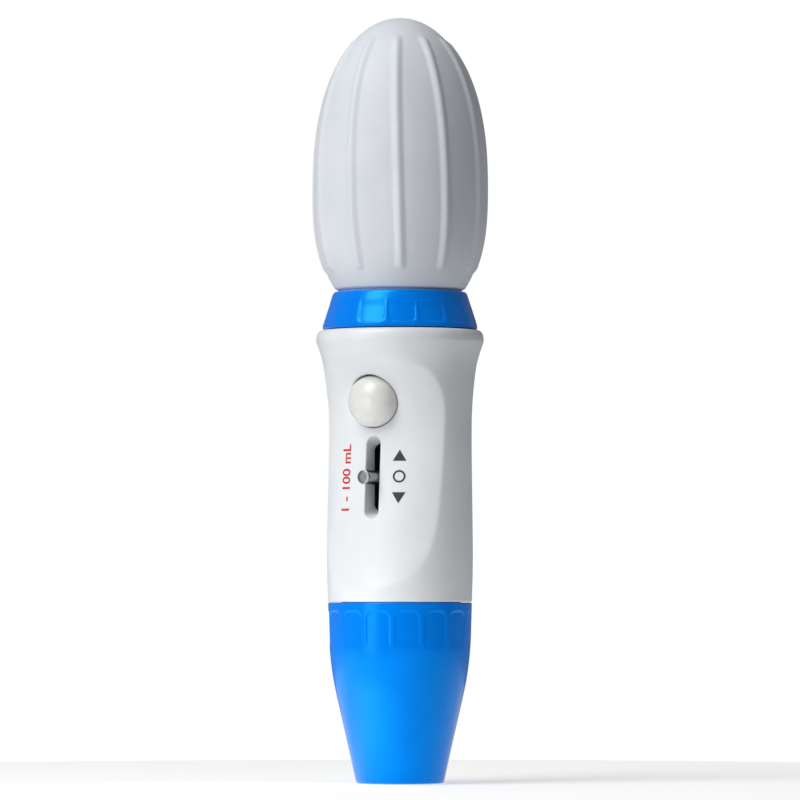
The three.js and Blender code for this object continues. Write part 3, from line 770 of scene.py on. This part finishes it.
# ---- Springs, each with one end on the barrel and the other on a part that slides ----
TURN_STEPS = 30
WIRE_SIDES = 10


def coil(radius, wire, bottom, top, turns):
    """A round wire wound about the long axis between two heights, with closed ends."""
    rings = []
    count = round(turns * TURN_STEPS)
    climb = (top - bottom - 2 * wire) / (turns * FULL_TURN)
    around = [FULL_TURN * k / WIRE_SIDES for k in range(WIRE_SIDES)]
    for i in range(count + 1):
        angle = turns * FULL_TURN * i / count
        out = Vector((math.cos(angle), math.sin(angle), 0))
        along = Vector((-out.y * radius, out.x * radius, climb)).normalized()
        over = along.cross(out)
        centre = out * radius + Vector((0, 0, bottom + wire + climb * angle))
        rings.append([centre + (out * math.cos(c) + over * math.sin(c)) * wire for c in around])
    return lofted(rings)


def spring(name, bm, cad_node):
    """A drawn steel coil that takes the place of a CAD node's spring, fixed where it is wound."""
    made = piece(name, bm, DRAWN_STEEL, None, [cad_node])
    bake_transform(made)


def button_spring():
    wound = facing_front(coil(radius=4.2, wire=0.35, bottom=6.2, top=14.4, turns=4.5), BUTTON_HEIGHT)
    spring("button_coil", wound, "button_spring")


def spool_spring(place):
    """One of the two coils that centre the spool. The upper one rests on the block at its top."""
    cad_node = "spool_spring_" + place
    bottom, top = low(cad_node).z, high(cad_node).z
    wound = coil(radius=1.5, wire=0.2, bottom=bottom, top=top, turns=2.5)
    spring("spool_coil_" + place, wound, cad_node)


button_spring()
spool_spring("upper")
spool_spring("lower")


# ---- Printed marks on the scoop's floor ----
INK = 0.03  # how far a print stands off the floor, and how thick it is
MARK_X = 7.1
MARK_UP, MARK_NEUTRAL, MARK_DOWN = 5.4, 0.2, -5.1  # heights from the lever's pin
ARROW_CORNERS = [(-1.65, -1.35), (0.0, 1.4), (1.65, -1.35)]
CIRCLE_RADIUS = 1.55
CIRCLE_LINE = 0.44
RANGE_X = -8.1
RANGE_DROP = 0.3


def printed(name, bm, material):
    """Cuts a flat mark into small faces, lays it on the scoop's floor and gives it a thin edge."""
    for axis, step in ((0, 0.4), (2, 0.8)):
        places = [vert.co[axis] for vert in bm.verts]
        at = math.floor(min(places) / step) * step
        while at < max(places):
            spot = Vector((at if axis == 0 else 0, 0, at if axis == 2 else 0))
            way = Vector((1 if axis == 0 else 0, 0, 1 if axis == 2 else 0))
            geometry = bm.verts[:] + bm.edges[:] + bm.faces[:]
            bmesh.ops.bisect_plane(bm, geom=geometry, dist=1e-4, plane_co=spot, plane_no=way)
            at += step
    for vert in bm.verts:
        vert.co.y = floor_y(vert.co.x, vert.co.z) - INK
    for face in bm.faces:
        if face.normal.y > 0:
            face.normal_flip()
    back = bmesh.ops.extrude_face_region(bm, geom=bm.faces[:])
    front = [item for item in back["geom"] if isinstance(item, bmesh.types.BMVert)]
    bmesh.ops.translate(bm, vec=(0, -INK, 0), verts=front)
    bmesh.ops.recalc_face_normals(bm, faces=bm.faces)
    piece(name, bm, material, "barrel")


def flat_disc(radius, segments):
    """A flat face in the X-Z plane."""
    bm = bmesh.new()
    bmesh.ops.create_circle(bm, cap_ends=True, radius=radius, segments=segments)
    bmesh.ops.rotate(bm, cent=(0, 0, 0), matrix=Matrix.Rotation(math.radians(90), 3, "X"), verts=bm.verts)
    return bm


def arrow(turn):
    """A triangle that points up, or down when it is turned by 180 degrees."""
    bm = flat_disc(1, 3)
    corners = sorted(bm.verts, key=lambda vert: vert.co.x)
    for vert, (x, z) in zip(corners, ARROW_CORNERS):
        vert.co = Vector((x, 0, z))
    bmesh.ops.rotate(bm, cent=(0, 0, 0), matrix=Matrix.Rotation(math.radians(turn), 3, "Y"), verts=bm.verts)
    return bm


def circle_mark():
    bm = flat_disc(CIRCLE_RADIUS, 48)
    bmesh.ops.inset_region(
        bm, faces=bm.faces[:], thickness=CIRCLE_LINE, use_boundary=True, use_even_offset=True
    )
    inner = [face for face in bm.faces if len(face.verts) > 4]
    bmesh.ops.delete(bm, geom=inner, context="FACES")
    return bm


def moved(bm, x, z):
    bmesh.ops.translate(bm, vec=(x, 0, z), verts=bm.verts)
    return bm


def volume_print():
    """A plain volume range that reads upwards beside the slot."""
    curve = bpy.data.curves.new("range", "FONT")
    curve.body = "1 - 100 mL"
    curve.size = 3.9
    curve.offset = 0.05
    curve.align_x = "CENTER"
    curve.align_y = "CENTER"
    curve.resolution_u = 4
    text = bpy.data.objects.new("range", curve)
    scene.collection.objects.link(text)
    bm = bmesh.new()
    bm.from_mesh(text.to_mesh())
    text.to_mesh_clear()
    bpy.data.objects.remove(text)
    bmesh.ops.remove_doubles(bm, verts=bm.verts, dist=1e-4)
    upright = Matrix.Rotation(math.radians(90), 3, "X")
    sideways = Matrix.Rotation(math.radians(-90), 3, "Y")
    bmesh.ops.rotate(bm, cent=(0, 0, 0), matrix=sideways @ upright, verts=bm.verts)
    return bm


for name, mark, height in (
    ("mark_up", arrow(0), MARK_UP),
    ("mark_neutral", circle_mark(), MARK_NEUTRAL),
    ("mark_down", arrow(180), MARK_DOWN),
):
    printed(name, moved(mark, MARK_X, LEVER_HEIGHT + height), GREY_INK)
volume_range = moved(volume_print(), RANGE_X, LEVER_HEIGHT - RANGE_DROP)
printed("volume_range", volume_range, RED_INK)


# ---- Studio, in metres and degrees ----
AMBIENT = 0.19
AMBIENT_COLOUR = (0.94, 0.97, 1.0, 1)
PAPER_COLOUR = (0.5, 0.5, 0.5, 1)
FLOOR_DROP = 0.2 * MM  # keeps the floor clear of the nose's end
FLOOR_RADIUS = 0.24
FLOOR_GLOW = 0.6
POOL_GLOW = 2.7  # the floor's painted pool of light, a glow brighter than the rest of the floor, which throws light up on the nose
POOL_RADIUS = 0.055
POOL_DISTANCE = 0.06
POOL_TURN = 52  # how far round to the camera's left the pool lies
CAMERA_AZIMUTH = 30
CAMERA_ELEVATION = -2
CAMERA_DISTANCE = 1.5
AIM = Vector((0, 0, 0.0956))
FRAME_HEIGHT = 0.2


def floor_and_world():
    bm = bmesh.new()
    bmesh.ops.create_circle(bm, cap_ends=True, radius=FLOOR_RADIUS, segments=96)
    bmesh.ops.translate(bm, vec=(0, 0, -FLOOR_DROP), verts=bm.verts)
    floor = loose_object(bm, "studio_floor")
    paper = bpy.data.materials.new("white floor with painted light pool")
    paper.use_nodes = True
    tree = paper.node_tree
    shader = tree.nodes["Principled BSDF"]
    shader.inputs["Base Color"].default_value = PAPER_COLOUR
    shader.inputs["Roughness"].default_value = 1.0
    shader.inputs["Specular IOR Level"].default_value = 0.0
    shader.inputs["Emission Color"].default_value = (1, 1, 1, 1)
    place = node(tree, "ShaderNodeTexCoord").outputs["Object"]
    # Painted light: the floor's emission rises from its even glow to a bright pool to the camera's left,
    # which stands in for a lamp pooling light on the floor.
    reach = node(tree, "ShaderNodeVectorMath", {"operation": "DISTANCE"}, Vector=place)
    reach.inputs[1].default_value = away(CAMERA_AZIMUTH - POOL_TURN, 0) * POOL_DISTANCE
    glow = {"From Max": POOL_RADIUS, "To Min": POOL_GLOW, "To Max": FLOOR_GLOW}
    strength = node(tree, "ShaderNodeMapRange", glow, Value=reach.outputs["Value"])
    tree.links.new(strength.outputs["Result"], shader.inputs["Emission Strength"])
    floor.data.materials.append(paper)

    world = bpy.data.worlds.new("studio")
    world.use_nodes = True
    tree = world.node_tree
    ambient = tree.nodes["Background"]
    ambient.inputs["Color"].default_value = AMBIENT_COLOUR
    ambient.inputs["Strength"].default_value = AMBIENT
    backdrop = node(tree, "ShaderNodeBackground", {"Color": (1, 1, 1, 1), "Strength": 1.0})
    seen = node(tree, "ShaderNodeLightPath").outputs["Is Camera Ray"]
    mixed = tree.nodes.new("ShaderNodeMixShader")
    tree.links.new(seen, mixed.inputs[0])
    tree.links.new(ambient.outputs[0], mixed.inputs[1])
    tree.links.new(backdrop.outputs[0], mixed.inputs[2])
    tree.links.new(mixed.outputs[0], tree.nodes["World Output"].inputs["Surface"])
    scene.world = world


def away(azimuth, elevation):
    """The direction from the object towards an azimuth round it and a height above it, in degrees."""
    turn, rise = math.radians(azimuth), math.radians(elevation)
    return Vector((math.sin(turn) * math.cos(rise), -math.cos(turn) * math.cos(rise), math.sin(rise)))


def soft_box(name, azimuth, elevation, distance, width, height, power):
    light = bpy.data.lights.new(name, "AREA")
    light.shape = "RECTANGLE"
    light.size = width
    light.size_y = height
    light.energy = power
    lamp = bpy.data.objects.new(name, light)
    scene.collection.objects.link(lamp)
    lamp.location = AIM + away(azimuth, elevation) * distance
    lamp.rotation_euler = (-away(azimuth, elevation)).to_track_quat("-Z", "Y").to_euler()


def camera():
    data = bpy.data.cameras.new("camera")
    data.lens = data.sensor_width * CAMERA_DISTANCE / FRAME_HEIGHT
    made = bpy.data.objects.new("camera", data)
    scene.collection.objects.link(made)
    back = away(CAMERA_AZIMUTH, CAMERA_ELEVATION)
    made.location = AIM + back * CAMERA_DISTANCE
    made.rotation_euler = (-back).to_track_quat("-Z", "Y").to_euler()
    scene.camera = made


floor_and_world()
soft_box(
    "key", azimuth=CAMERA_AZIMUTH - 46, elevation=46, distance=1.1, width=0.6, height=0.8, power=10
)
soft_box(
    "window", azimuth=CAMERA_AZIMUTH - 48, elevation=-4, distance=1.2, width=0.4, height=0.7, power=2.2
)
camera()
scene.view_settings.view_transform = "Standard"
